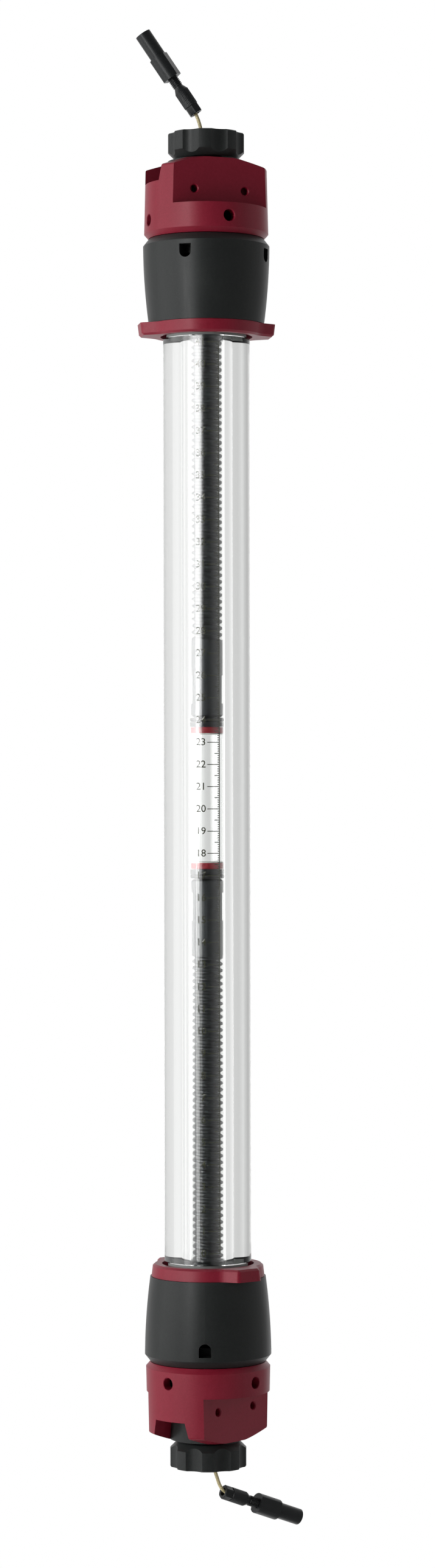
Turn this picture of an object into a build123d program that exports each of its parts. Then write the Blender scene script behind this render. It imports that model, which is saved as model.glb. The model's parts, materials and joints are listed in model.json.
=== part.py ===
from build123d import *
import math
import os

# Glass chromatography column with an adjustable adapter at each end, in millimetres.
#
# The column stands upright. The origin is at the middle of the glass tube, on the axis of its
# bore, and +Z points to the upper end. Every piece of an end is drawn in that end's own frame,
# whose z axis points out of the tube, so a height is always a distance from the tube's middle.

# ---------------------------------------------------------------- driving dimensions

# Glass tube
tube_radius = 19.75
bore_radius = 8.0
tube_half = 209.7           # middle of the tube to the shoulder of its full diameter
neck_radius = 16.5
neck_length = 12.5
tube_chamfer = 0.5

# Clearances
slip_gap = 0.1              # pieces bonded, screwed or snapped to each other
running_gap = 0.3           # pieces that turn or slide past each other
rod_gap = 0.35              # round the crests of the adapter rod

# Collar bonded to the tube's neck, with two bayonet lugs
collar_radius = 18.15
lug_radius = 20.5
lug_thickness = 1.9
lug_width = 20.0

# Lock ring with two ears, turned by hand to free the end cap
ring_offset = 0.7           # tube shoulder to the ring's face
ring_thickness = 5.6
ring_radius = 25.7
ring_taper = 7.0            # degrees
ring_bore_radius = 20.9
ring_edge = 0.9
ear_radius = 30.9
ear_tip_angle = 11.5        # half-angles, in degrees, seen from the axis
ear_root_angle = 28.0
ear_corner = 2.6
ear_blend = 9.0
sleeve_radius = 22.6
tab_thickness = 2.2
bead_height = 0.5
bead_length = 1.2

# Seat ring between the glass and the end cap, which also guides the rod
seat_radius = 21.9
seat_thickness = 6.6

# End cap, a barrel with four windows
cap_length = 38.4
cap_top_radius = 28.75
cap_foot_step = 0.55        # foot beyond the lock ring
cap_bulge = 0.55            # middle beyond a straight line from foot to shoulder
cap_chamfer_radial = 2.45
cap_chamfer_axial = 3.1
cap_web = 4.5
cap_cavity_radius = 20.8
window_count = 4
window_width = 5.5
window_length = 6.1
window_from_top = 5.1       # flat edge of a window to the cap's outer face

# Lock body, the grip that is turned to release the rod
lock_length = 35.1
lock_inset = 0.5            # widest part inside the cap's shoulder
lock_taper = 0.7            # radius lost towards the outer end
lock_chamfer = 2.2
lock_edge = 1.0
lock_crown_drop = 3.7       # height of the cone from the bore out to the rim
lock_foot_wall = 2.5
lock_cavity_depth = 11.0
flat_distance = 16.4
flat_start = 13.3           # inner face of the lock body to the ledge of its flats
grip_hole_radius = 2.65
grip_hole_height = 7.4
grip_hole_count = 4
screw_hole_radius = 1.7
screw_hole_spread = 12.25
screw_hole_height = 20.3
screw_hole_depth = 3.6
hole_chamfer = 0.4
notch_depth = 10.7
notch_floor_angle = 17.5    # half-angles, in degrees, seen from the axis
notch_mouth_angle = 23.2

# Lock core, the inner sleeve that carries the half nuts
core_radius = 17.5
core_flat = 13.0
core_flange_radius = 20.4
core_flange_thickness = 3.4
nut_cavity_radius = 11.8
nut_length = 12.9
nut_split = 1.0
retainer_thickness = 2.0

# Knob
knob_gap = 1.2
knob_length = 11.6
knob_radius = 17.3
knob_chamfer = 3.0
knob_edge = 0.4
flute_count = 8
flute_angle = 27.0
flute_depth = 1.7
knob_socket_depth = 6.0

# Adapter rod, whose coarse thread is drawn as rings a pitch apart, and its smooth tip
rod_radius = 7.0            # at the crests
rod_pitch = 3.0
rod_groove_depth = 1.2
rod_groove_floor = 0.9      # width of a groove at its floor
rod_groove_mouth = 2.1      # width of a groove at the crests
rod_bore_radius = 4.7
rod_end_in_knob = 5.7
spigot_radius = 5.4
spigot_length = 6.0
tip_foot_radius = 6.0
tip_head_radius = 7.3
tip_waist_radius = 6.7
tip_body_radius = 7.15
tip_cone = 1.0
tip_head_length = 5.2
tip_waist_length = 12.8
tip_body_length = 16.0

# Plunger, seal and filter
filter_edge = 0.5           # part of the filter disc that stands out of its ring
filter_disc_radius = 7.2
filter_disc_thickness = 1.8
filter_ring_radius = 7.35
filter_ring_length = 2.7
filter_ring_bore = 5.9
plunger_radius = 7.85
plunger_thickness = 2.0
seal_section = 0.87         # radius of the seal ring's round section
seal_space = 2.2
seal_boss_radius = 6.0
stem_length = 8.5

# Inner shaft and capillary
shaft_radius = 4.4
shaft_bore_radius = 2.2
shaft_end_in_knob = 6.9
capillary_radius = 0.8
capillary_bore_radius = 0.3
capillary_lean_start = 7.0  # first bend of the capillary, inward of the knob's outer face

# Finger-tight fitting and union
hex_across_flats = 5.8
hex_length = 4.0
grip_radius = 3.3
grip_length = 8.3
grip_cone = 2.3
thread_radius = 2.4
thread_exposed = 4.8
thread_engaged = 7.0
thread_gap = 0.08
nut_socket_radius = 1.7
nut_socket_depth = 5.0
ferrule_radius = 2.0
ferrule_land = 0.8
ferrule_length = 3.0
ferrule_tip_radius = 1.0
union_radius = 4.68
union_across_flats = 7.6
union_wide_length = 11.6
union_slim_radius = 3.68
union_slim_length = 12.6
union_bore_radius = 0.5
union_seat_gap = 0.6
port_radius = 2.4
port_depth = 9.5
port_cone = 1.3
port_lead = 0.8             # how far the capillary runs in line before the nut's mouth

# How each end stands. Angles are degrees of azimuth about the axis, from the front (-Y)
# towards the right (+X). A nut point is (x, y, height above the knob), and a nut direction is
# (x, y, rise). Nut and union turns are degrees about the fitting's own axis.
ends = {
    "upper": dict(
        side=1,
        plunger_face=29.8,
        ring_azimuth=98.0,
        cap_azimuth=-19.3,
        lock_azimuth=21.9,
        knob_azimuth=-24.0,
        nut_point=(-4.4, 0.0, 9.4),
        nut_direction=(-24.0, 0.0, 35.8),
        nut_bend=28.0,
        nut_turn=0.0,
        union_turn=69.0,
        lean_bend=40.0,
    ),
    "lower": dict(
        side=-1,
        plunger_face=27.9,
        ring_azimuth=38.0,
        cap_azimuth=-2.8,
        lock_azimuth=49.8,
        knob_azimuth=22.5,
        nut_point=(6.6, 0.0, 11.8),
        nut_direction=(34.1, 21.0, 15.3),
        nut_bend=8.0,
        nut_turn=27.0,
        union_turn=-13.0,
        lean_bend=30.0,
    ),
}

# ---------------------------------------------------------------- radii that follow others

cap_foot_radius = ring_radius + cap_foot_step
cap_mid_radius = (cap_foot_radius + cap_top_radius) / 2 + cap_bulge
lock_foot_radius = cap_top_radius - cap_chamfer_radial
lock_radius = cap_top_radius - lock_inset
lock_end_radius = lock_radius - lock_taper
lock_cavity_radius = lock_foot_radius - lock_foot_wall

# ---------------------------------------------------------------- heights along one end

glass_end = tube_half + neck_length
ring_start = tube_half + ring_offset
ring_end = ring_start + ring_thickness
cap_start = ring_end + slip_gap
cap_end = cap_start + cap_length
seat_end = glass_end + seat_thickness
lug_start = glass_end - lug_thickness
tab_end = lug_start - running_gap
sleeve_end = glass_end - running_gap
web_start = cap_end - cap_web
lock_start = cap_end + running_gap
lock_end = lock_start + lock_length
lock_ledge = lock_start + flat_start
core_start = web_start - running_gap - core_flange_thickness
retainer_start = core_start + slip_gap
nut_start = retainer_start + retainer_thickness + slip_gap
nut_end = nut_start + nut_length
knob_start = lock_end + knob_gap
knob_end = knob_start + knob_length
rod_end = knob_start + rod_end_in_knob
shaft_end = knob_start + shaft_end_in_knob
union_start = hex_length + grip_length + grip_cone + thread_exposed
thread_end = union_start + thread_engaged
ferrule_end = thread_end + ferrule_length


# ---------------------------------------------------------------- frames and helpers

def end_frame(side, azimuth=0.0):
    """Plane of one end: z points out of the tube and x lies at the azimuth."""
    turn = math.radians(azimuth)
    x_dir = (math.sin(turn), -math.cos(turn), 0)
    return Plane(origin=(0, 0, 0), x_dir=x_dir, z_dir=(0, 0, side))


def profile_plane(frame):
    """Plane through a frame's axis, with radius along x and height along y."""
    return Plane(origin=frame.origin, x_dir=frame.x_dir, z_dir=-frame.y_dir)


def radial_plane(frame, distance, height, turn):
    """Plane that faces outward at a distance from the axis, turned about it by an angle."""
    angle = math.radians(turn)
    outward = frame.x_dir * math.cos(angle) + frame.y_dir * math.sin(angle)
    along = frame.y_dir * math.cos(angle) - frame.x_dir * math.sin(angle)
    origin = frame.origin + outward * distance + frame.z_dir * height
    return Plane(origin=origin, x_dir=along, z_dir=outward)


def axis_of(frame):
    return Axis(frame.origin, frame.z_dir)


def outline(frame, points):
    """Closed profile of (radius, height) points, to be revolved about the frame's axis."""
    with BuildSketch(profile_plane(frame)) as profile:
        with BuildLine():
            Polyline(*points, close=True)
        make_face()
    return profile.sketch


def disc(frame, height, radius):
    with BuildSketch(frame.offset(height)) as profile:
        Circle(radius)
    return profile.sketch


def annulus(frame, height, outer, inner):
    with BuildSketch(frame.offset(height)) as profile:
        Circle(outer)
        Circle(inner, mode=Mode.SUBTRACT)
    return profile.sketch


def double_flat(frame, height, radius, flat):
    """Disc with two opposed flats, across the frame's x axis."""
    with BuildSketch(frame.offset(height)) as profile:
        Circle(radius)
        Rectangle(2 * flat, 2 * radius, mode=Mode.INTERSECT)
    return profile.sketch


def save(piece, name):
    piece.part.label = name
    export_step(piece.part, f"parts/{name}.step")


# ---------------------------------------------------------------- the tube

def make_glass_tube():
    """Thick tube whose ends are ground down to a neck for the collars."""
    middle = end_frame(1)
    with BuildPart() as glass_tube:
        extrude(disc(middle, -tube_half, tube_radius), amount=2 * tube_half)
        chamfer(glass_tube.edges().filter_by(GeomType.CIRCLE), tube_chamfer)
        extrude(disc(middle, -glass_end, neck_radius), amount=2 * glass_end)
        extrude(disc(middle, -glass_end, bore_radius), amount=2 * glass_end, mode=Mode.SUBTRACT)
    save(glass_tube, "glass_tube")


# ---------------------------------------------------------------- end cap and its lock ring

def make_tube_collar(name, end):
    """Sleeve bonded to the tube's neck, with two lugs that the lock ring catches."""
    frame = end_frame(end["side"], end["ring_azimuth"])
    bore = neck_radius + slip_gap
    with BuildPart() as tube_collar:
        extrude(annulus(frame, tube_half, collar_radius, bore), amount=neck_length)
        with BuildSketch(frame.offset(lug_start)):
            Circle(lug_radius)
            Rectangle(2 * lug_radius, lug_width, mode=Mode.INTERSECT)
            Circle(bore, mode=Mode.SUBTRACT)
        extrude(amount=lug_thickness)
    save(tube_collar, f"{name}_tube_collar")


def ear_outline():
    """Corners of both ears: a straight end, and sides that spread towards the ring."""
    tip_turn = math.radians(ear_tip_angle)
    root_turn = math.radians(ear_root_angle)
    tip_x, tip_y = ear_radius, ear_radius * math.tan(tip_turn)
    root_radius = ring_radius - ring_edge
    root_x, root_y = root_radius * math.cos(root_turn), root_radius * math.sin(root_turn)
    right = [(root_x, -root_y), (tip_x, -tip_y), (tip_x, tip_y), (root_x, root_y)]
    left = [(-x, -y) for x, y in right]
    return right + left


def make_lock_ring(name, end):
    """Flat ring with two ears outside the cap, and a snap sleeve with two tabs inside it."""
    frame = end_frame(end["side"], end["ring_azimuth"])
    bead_middle = (cap_start + tab_end) / 2
    with BuildPart() as lock_ring:
        with BuildSketch(frame.offset(ring_end)) as plate:
            Polygon(*ear_outline(), align=None)
            fillet(plate.vertices().filter_by(lambda v: math.hypot(v.X, v.Y) > ring_radius), ear_corner)
            Circle(ring_radius)
            roots = plate.vertices().filter_by(lambda v: abs(math.hypot(v.X, v.Y) - ring_radius) < 0.01)
            fillet(roots, ear_blend)
        extrude(amount=-ring_thickness, taper=ring_taper)
        rim = lock_ring.faces().sort_by(axis_of(frame))[0].outer_wire().edges()
        chamfer(rim, ring_edge)
        extrude(disc(frame, ring_start, ring_bore_radius), amount=ring_thickness, mode=Mode.SUBTRACT)
        sleeve_length = sleeve_end - ring_end
        extrude(annulus(frame, ring_end, sleeve_radius, ring_bore_radius), amount=sleeve_length)
        bead = [
            (sleeve_radius - bead_height, bead_middle - bead_length),
            (sleeve_radius, bead_middle - bead_length),
            (sleeve_radius + bead_height, bead_middle),
            (sleeve_radius, bead_middle + bead_length),
            (sleeve_radius - bead_height, bead_middle + bead_length),
        ]
        revolve(outline(frame, bead), axis=axis_of(frame))
        with BuildSketch(frame.offset(tab_end)):
            Circle(sleeve_radius)
            Rectangle(2 * sleeve_radius, lug_width, mode=Mode.INTERSECT)
            Circle(collar_radius + running_gap, mode=Mode.SUBTRACT)
        extrude(amount=-tab_thickness)
    save(lock_ring, f"{name}_lock_ring")


def make_seat_ring(name, end):
    """Ring that the end cap clamps on the glass, bored to guide the adapter rod."""
    frame = end_frame(end["side"])
    with BuildPart() as seat_ring:
        extrude(annulus(frame, glass_end, seat_radius, rod_radius + rod_gap), amount=seat_thickness)
    save(seat_ring, f"{name}_seat_ring")


def make_end_cap(name, end):
    """Barrel-shaped cap with a web at its outer end and a window in each quarter."""
    frame = end_frame(end["side"], end["cap_azimuth"])
    bead_middle = (cap_start + tab_end) / 2
    sleeve_bore = sleeve_radius + running_gap
    bead_bore = sleeve_bore + bead_height
    web_bore = core_radius + running_gap
    shoulder = cap_end - cap_chamfer_axial
    with BuildPart() as end_cap:
        with BuildSketch(profile_plane(frame)):
            with BuildLine():
                ThreePointArc(
                    (cap_foot_radius, cap_start),
                    (cap_mid_radius, (cap_start + shoulder) / 2),
                    (cap_top_radius, shoulder),
                )
                Polyline(
                    (cap_top_radius, shoulder),
                    (cap_top_radius - cap_chamfer_radial, cap_end),
                    (web_bore, cap_end),
                    (web_bore, web_start),
                    (cap_cavity_radius, web_start),
                    (cap_cavity_radius, seat_end),
                    (seat_radius + slip_gap, seat_end),
                    (seat_radius + slip_gap, glass_end),
                    (sleeve_bore, glass_end),
                    (sleeve_bore, bead_middle + bead_length),
                    (bead_bore, bead_middle),
                    (sleeve_bore, bead_middle - bead_length),
                    (sleeve_bore, cap_start),
                    (cap_foot_radius, cap_start),
                )
            make_face()
        revolve(axis=axis_of(frame))
        straight = window_length - window_width / 2
        for quarter in range(window_count):
            turn = quarter * 360 / window_count
            wall = radial_plane(frame, core_radius, cap_end - window_from_top, turn)
            with BuildSketch(wall):
                with Locations((0, -straight / 2)):
                    Rectangle(window_width, straight)
                with Locations((0, -straight)):
                    Circle(window_width / 2)
            extrude(amount=cap_top_radius - core_radius + 1, mode=Mode.SUBTRACT)
    save(end_cap, f"{name}_end_cap")


# ---------------------------------------------------------------- lock

def make_lock_body(name, end):
    """Grip with two flats, two open notches, spanner holes and a double-flat bore."""
    frame = end_frame(end["side"], end["lock_azimuth"])
    bore = core_radius + slip_gap
    mouth_reach = lock_radius * math.sin(math.radians(notch_mouth_angle))
    floor_reach = lock_radius * math.sin(math.radians(notch_floor_angle))
    with BuildPart() as lock_body:
        with BuildSketch(profile_plane(frame)):
            with BuildLine():
                FilletPolyline(
                    (0, lock_start),
                    (lock_foot_radius, lock_start),
                    (lock_radius, lock_start + lock_chamfer),
                    (lock_end_radius, lock_end - lock_crown_drop),
                    (bore, lock_end),
                    (0, lock_end),
                    (0, lock_start),
                    radius=(0, 0, 0, lock_edge, 0, 0),
                    close=True,
                )
            make_face()
        revolve(axis=axis_of(frame))
        flat_length = lock_end - lock_ledge
        for side in (1, -1):
            with BuildSketch(frame.offset(lock_ledge)):
                with Locations((side * (flat_distance + lock_radius) / 2, 0)):
                    Rectangle(lock_radius - flat_distance, 2 * lock_radius)
            extrude(amount=flat_length, mode=Mode.SUBTRACT)
        extrude(disc(frame, lock_start, lock_cavity_radius), amount=lock_cavity_depth, mode=Mode.SUBTRACT)
        bore_profile = double_flat(frame, lock_start, bore, core_flat + slip_gap)
        extrude(bore_profile, amount=lock_length, mode=Mode.SUBTRACT)
        with BuildSketch(radial_plane(frame, 0, lock_end - notch_depth, 90)):
            with BuildLine():
                Polyline(
                    (-floor_reach, 0),
                    (floor_reach, 0),
                    (mouth_reach, notch_depth),
                    (-mouth_reach, notch_depth),
                    close=True,
                )
            make_face()
        extrude(amount=lock_radius, both=True, mode=Mode.SUBTRACT)
        for quarter in range(grip_hole_count):
            turn = quarter * 360 / grip_hole_count
            with Locations(radial_plane(frame, lock_radius, lock_start + grip_hole_height, turn)):
                CounterSinkHole(grip_hole_radius, grip_hole_radius + hole_chamfer, lock_radius / 2)
        for turn in (0, 180):
            with Locations(radial_plane(frame, flat_distance, lock_start + screw_hole_height, turn)):
                with Locations((-screw_hole_spread, 0), (screw_hole_spread, 0)):
                    CounterSinkHole(screw_hole_radius, screw_hole_radius + hole_chamfer, screw_hole_depth)
    save(lock_body, f"{name}_lock_body")


def make_lock_core(name, end):
    """Double-flat sleeve with a flange inside the cap and a pocket for the half nuts."""
    frame = end_frame(end["side"], end["lock_azimuth"])
    with BuildPart() as lock_core:
        flange = disc(frame, core_start, core_flange_radius)
        extrude(flange, amount=core_flange_thickness)
        extrude(disc(frame, core_start, core_radius), amount=lock_start - core_start)
        extrude(double_flat(frame, lock_start, core_radius, core_flat), amount=lock_length)
        pocket = disc(frame, core_start, nut_cavity_radius)
        extrude(pocket, amount=nut_end + slip_gap - core_start, mode=Mode.SUBTRACT)
        bore = disc(frame, core_start, rod_radius + rod_gap)
        extrude(bore, amount=lock_end - core_start, mode=Mode.SUBTRACT)
    save(lock_core, f"{name}_lock_core")


def make_half_nuts(name, end):
    """Two half nuts that close on the rod inside the core."""
    frame = end_frame(end["side"], end["lock_azimuth"])
    with BuildPart() as half_nuts:
        blank = annulus(frame, nut_start, nut_cavity_radius - running_gap, rod_radius + rod_gap)
        extrude(blank, amount=nut_length)
        with BuildSketch(frame.offset(nut_start)):
            Rectangle(nut_split, 2 * nut_cavity_radius)
        extrude(amount=nut_length, mode=Mode.SUBTRACT)
    save(half_nuts, f"{name}_half_nuts")


def make_nut_retainer(name, end):
    """Ring pressed into the core's mouth, under the half nuts."""
    frame = end_frame(end["side"])
    with BuildPart() as nut_retainer:
        blank = annulus(frame, retainer_start, nut_cavity_radius - slip_gap, rod_radius + rod_gap)
        extrude(blank, amount=retainer_thickness)
    save(nut_retainer, f"{name}_nut_retainer")


# ---------------------------------------------------------------- adapter

def make_adapter_rod(name, end):
    """Hollow rod with a groove for each pitch of its thread, and a spigot for the tip."""
    frame = end_frame(end["side"])
    tip_end = tip_top(end)
    root_radius = rod_radius - rod_groove_depth
    groove_count = int((rod_end - tip_end) / rod_pitch)
    profile = [
        (rod_bore_radius, tip_end - spigot_length),
        (spigot_radius, tip_end - spigot_length),
        (spigot_radius, tip_end),
        (rod_radius, tip_end),
    ]
    for groove in range(groove_count):
        middle = tip_end + (groove + 0.5) * rod_pitch
        profile += [
            (rod_radius, middle - rod_groove_mouth / 2),
            (root_radius, middle - rod_groove_floor / 2),
            (root_radius, middle + rod_groove_floor / 2),
            (rod_radius, middle + rod_groove_mouth / 2),
        ]
    profile += [(rod_radius, rod_end), (rod_bore_radius, rod_end)]
    with BuildPart() as adapter_rod:
        revolve(outline(frame, profile), axis=axis_of(frame))
    save(adapter_rod, f"{name}_adapter_rod")


def make_rod_tip(name, end):
    """Smooth stepped tip whose foot presses the seal ring against the plunger."""
    frame = end_frame(end["side"])
    foot = plunger_top(end) + seal_space
    head = foot + tip_cone
    waist = head + tip_head_length
    body = waist + tip_waist_length
    top = tip_top(end)
    with BuildPart() as rod_tip:
        profile = [
            (rod_bore_radius, foot),
            (tip_foot_radius, foot),
            (tip_head_radius, head),
            (tip_head_radius, waist),
            (tip_waist_radius, waist),
            (tip_waist_radius, body),
            (tip_body_radius, body),
            (tip_body_radius, top),
            (spigot_radius + slip_gap, top),
            (spigot_radius + slip_gap, top - spigot_length - slip_gap),
            (rod_bore_radius, top - spigot_length - slip_gap),
        ]
        revolve(outline(frame, profile), axis=axis_of(frame))
    save(rod_tip, f"{name}_rod_tip")


def make_plunger_head(name, end):
    """Flange that seals the bed, with a nose for the filter, a seal boss and a stem."""
    frame = end_frame(end["side"])
    face = end["plunger_face"]
    flange = plunger_top(end) - plunger_thickness
    top = plunger_top(end)
    with BuildPart() as plunger_head:
        profile = [
            (capillary_radius + slip_gap, face + filter_disc_thickness + slip_gap),
            (filter_ring_bore - slip_gap, face + filter_disc_thickness + slip_gap),
            (filter_ring_bore - slip_gap, flange),
            (plunger_radius, flange),
            (plunger_radius, top),
            (seal_boss_radius, top),
            (seal_boss_radius, top + seal_space - slip_gap),
            (shaft_radius, top + seal_space - slip_gap),
            (shaft_radius, top + stem_length),
            (capillary_radius + slip_gap, top + stem_length),
        ]
        revolve(outline(frame, profile), axis=axis_of(frame))
    save(plunger_head, f"{name}_plunger_head")


def make_seal_ring(name, end):
    """O-ring round the plunger's boss, squeezed between the plunger and the rod's tip."""
    frame = end_frame(end["side"])
    middle = plunger_top(end) + seal_space / 2
    with BuildPart() as seal_ring:
        with BuildSketch(profile_plane(frame)):
            with Locations((plunger_radius - seal_section, middle)):
                Circle(seal_section)
        revolve(axis=axis_of(frame))
    save(seal_ring, f"{name}_seal_ring")


def make_filter(name, end):
    """Snap ring and the porous disc that it holds on the plunger's nose."""
    frame = end_frame(end["side"])
    face = end["plunger_face"]
    ring_foot = face + filter_edge
    with BuildPart() as filter_ring:
        blank = annulus(frame, ring_foot, filter_ring_radius, filter_ring_bore)
        extrude(blank, amount=filter_ring_length)
    save(filter_ring, f"{name}_filter_ring")
    with BuildPart() as filter_disc:
        extrude(disc(frame, face, filter_disc_radius), amount=filter_edge)
        inner = disc(frame, face, filter_ring_bore - slip_gap)
        extrude(inner, amount=filter_disc_thickness)
    save(filter_disc, f"{name}_filter_disc")


def make_inner_shaft(name, end):
    """Hollow shaft from the plunger's stem to the knob, which draws it up."""
    frame = end_frame(end["side"])
    start = plunger_top(end) + stem_length
    with BuildPart() as inner_shaft:
        blank = annulus(frame, start, shaft_radius, shaft_bore_radius)
        extrude(blank, amount=shaft_end - start)
    save(inner_shaft, f"{name}_inner_shaft")


def make_knob(name, end):
    """Fluted knob that covers the rod's end and is screwed on the inner shaft."""
    frame = end_frame(end["side"], end["knob_azimuth"])
    half_width = knob_radius * math.sin(math.radians(flute_angle / 2))
    edge_drop = knob_radius - math.sqrt(knob_radius**2 - half_width**2)
    sagitta = flute_depth - edge_drop
    flute_radius = (half_width**2 + sagitta**2) / (2 * sagitta)
    with BuildPart() as knob:
        profile = [
            (0, knob_start),
            (knob_radius - knob_chamfer, knob_start),
            (knob_radius, knob_start + knob_chamfer),
            (knob_radius, knob_end - knob_edge),
            (knob_radius - knob_edge, knob_end),
            (0, knob_end),
        ]
        revolve(outline(frame, profile), axis=axis_of(frame))
        with BuildSketch(frame.offset(knob_start)):
            with PolarLocations(knob_radius - flute_depth + flute_radius, flute_count):
                Circle(flute_radius)
        extrude(amount=knob_length, mode=Mode.SUBTRACT)
        socket = disc(frame, knob_start, rod_radius + running_gap)
        extrude(socket, amount=knob_socket_depth, mode=Mode.SUBTRACT)
        through = disc(frame, knob_start, shaft_radius + slip_gap)
        extrude(through, amount=knob_length, mode=Mode.SUBTRACT)
    save(knob, f"{name}_knob")


# ---------------------------------------------------------------- capillary and its fitting

def fitting_plane(end, turn=0.0):
    """Plane at the nut's mouth: z runs along the nut towards the union's far end."""
    x, y, height = end["nut_point"]
    across, away, rise = end["nut_direction"]
    side = end["side"]
    outward = Vector(across, away, side * rise).normalized()
    level = Vector(0, 0, 1).cross(outward).normalized()
    x_dir = level.rotate(Axis((0, 0, 0), outward), turn)
    return Plane(origin=(x, y, side * (knob_end + height)), x_dir=x_dir, z_dir=outward)


def make_capillary(name, end):
    """Stiff tube from the plunger, up the inner shaft, and over into the nut."""
    frame = end_frame(end["side"])
    fitting = fitting_plane(end)
    start = frame.origin + frame.z_dir * (end["plunger_face"] + filter_disc_thickness + 2 * slip_gap)
    lean = frame.origin + frame.z_dir * (knob_end - capillary_lean_start)
    lead = fitting.origin - fitting.z_dir * port_lead
    stop = fitting.origin + fitting.z_dir * (ferrule_end + slip_gap)
    with BuildPart() as capillary:
        with BuildLine() as path:
            FilletPolyline(start, lean, lead, stop, radius=(end["lean_bend"], end["nut_bend"]))
        with BuildSketch(Plane(origin=start, z_dir=frame.z_dir)):
            Circle(capillary_radius)
            Circle(capillary_bore_radius, mode=Mode.SUBTRACT)
        sweep(path=path.line)
    length = path.wire().length
    ring_area = math.pi * (capillary_radius**2 - capillary_bore_radius**2)
    print(name, "capillary: length", round(length, 2), "bends", end["lean_bend"], end["nut_bend"])
    print("  volume", round(capillary.part.volume, 2), "section times length", round(ring_area * length, 2))
    save(capillary, f"{name}_capillary")


def make_fitting_nut(name, end):
    """Finger-tight nut: hexagonal tail with a socket, round grip, cone and thread."""
    fitting = fitting_plane(end, end["nut_turn"])
    cone_start = hex_length + grip_length
    with BuildPart() as fitting_nut:
        with BuildSketch(fitting):
            RegularPolygon(hex_across_flats / 2, 6, major_radius=False)
        extrude(amount=hex_length)
        profile = [
            (0, hex_length),
            (grip_radius, hex_length),
            (grip_radius, cone_start),
            (thread_radius, cone_start + grip_cone),
            (thread_radius, thread_end),
            (0, thread_end),
        ]
        revolve(outline(fitting, profile), axis=axis_of(fitting))
        extrude(disc(fitting, 0, nut_socket_radius), amount=nut_socket_depth, mode=Mode.SUBTRACT)
        extrude(disc(fitting, 0, capillary_radius + slip_gap), amount=thread_end, mode=Mode.SUBTRACT)
    save(fitting_nut, f"{name}_fitting_nut")


def make_ferrule(name, end):
    """Cone that the nut presses on the capillary inside the union."""
    fitting = fitting_plane(end)
    with BuildPart() as ferrule:
        profile = [
            (capillary_radius + slip_gap / 2, thread_end),
            (ferrule_radius, thread_end),
            (ferrule_radius, thread_end + ferrule_land),
            (ferrule_tip_radius, ferrule_end),
            (capillary_radius + slip_gap / 2, ferrule_end),
        ]
        revolve(outline(fitting, profile), axis=axis_of(fitting))
    save(ferrule, f"{name}_ferrule")


def make_union(name, end):
    """Union with two wrench flats, the nut's port at one end and an open port at the other."""
    fitting = fitting_plane(end, end["union_turn"])
    union_end = union_start + union_wide_length + union_slim_length
    seat_start = thread_end + ferrule_land + running_gap
    seat_end_height = ferrule_end + union_seat_gap
    port_floor = union_end - port_depth
    with BuildPart() as union:
        wide = double_flat(fitting, union_start, union_radius, union_across_flats / 2)
        extrude(wide, amount=union_wide_length)
        slim = disc(fitting, union_start, union_slim_radius)
        extrude(slim, amount=union_wide_length + union_slim_length)
        cavity = [
            (0, union_start),
            (thread_radius + thread_gap, union_start),
            (thread_radius + thread_gap, seat_start),
            (ferrule_tip_radius + thread_gap, seat_end_height),
            (union_bore_radius, seat_end_height),
            (union_bore_radius, port_floor - port_cone),
            (port_radius, port_floor),
            (port_radius, union_end),
            (0, union_end),
        ]
        revolve(outline(fitting, cavity), axis=axis_of(fitting), mode=Mode.SUBTRACT)
    save(union, f"{name}_union")


def plunger_top(end):
    """Height of the plunger's outer face."""
    return end["plunger_face"] + filter_edge + filter_ring_length + running_gap + plunger_thickness


def tip_top(end):
    """Height at which the rod's smooth tip ends and its thread begins."""
    step_length = tip_cone + tip_head_length + tip_waist_length + tip_body_length
    return plunger_top(end) + seal_space + step_length


# ---------------------------------------------------------------- build

os.makedirs("parts", exist_ok=True)

make_glass_tube()
for end_name, end_values in ends.items():
    make_tube_collar(end_name, end_values)
    make_lock_ring(end_name, end_values)
    make_seat_ring(end_name, end_values)
    make_end_cap(end_name, end_values)
    make_lock_body(end_name, end_values)
    make_lock_core(end_name, end_values)
    make_half_nuts(end_name, end_values)
    make_nut_retainer(end_name, end_values)
    make_adapter_rod(end_name, end_values)
    make_rod_tip(end_name, end_values)
    make_plunger_head(end_name, end_values)
    make_seal_ring(end_name, end_values)
    make_filter(end_name, end_values)
    make_inner_shaft(end_name, end_values)
    make_knob(end_name, end_values)
    make_capillary(end_name, end_values)
    make_fitting_nut(end_name, end_values)
    make_ferrule(end_name, end_values)
    make_union(end_name, end_values)
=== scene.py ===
import json
import logging
import math
from dataclasses import dataclass
from enum import Enum

import bmesh
import bpy
import numpy as np
from mathutils import Matrix, Vector


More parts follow.
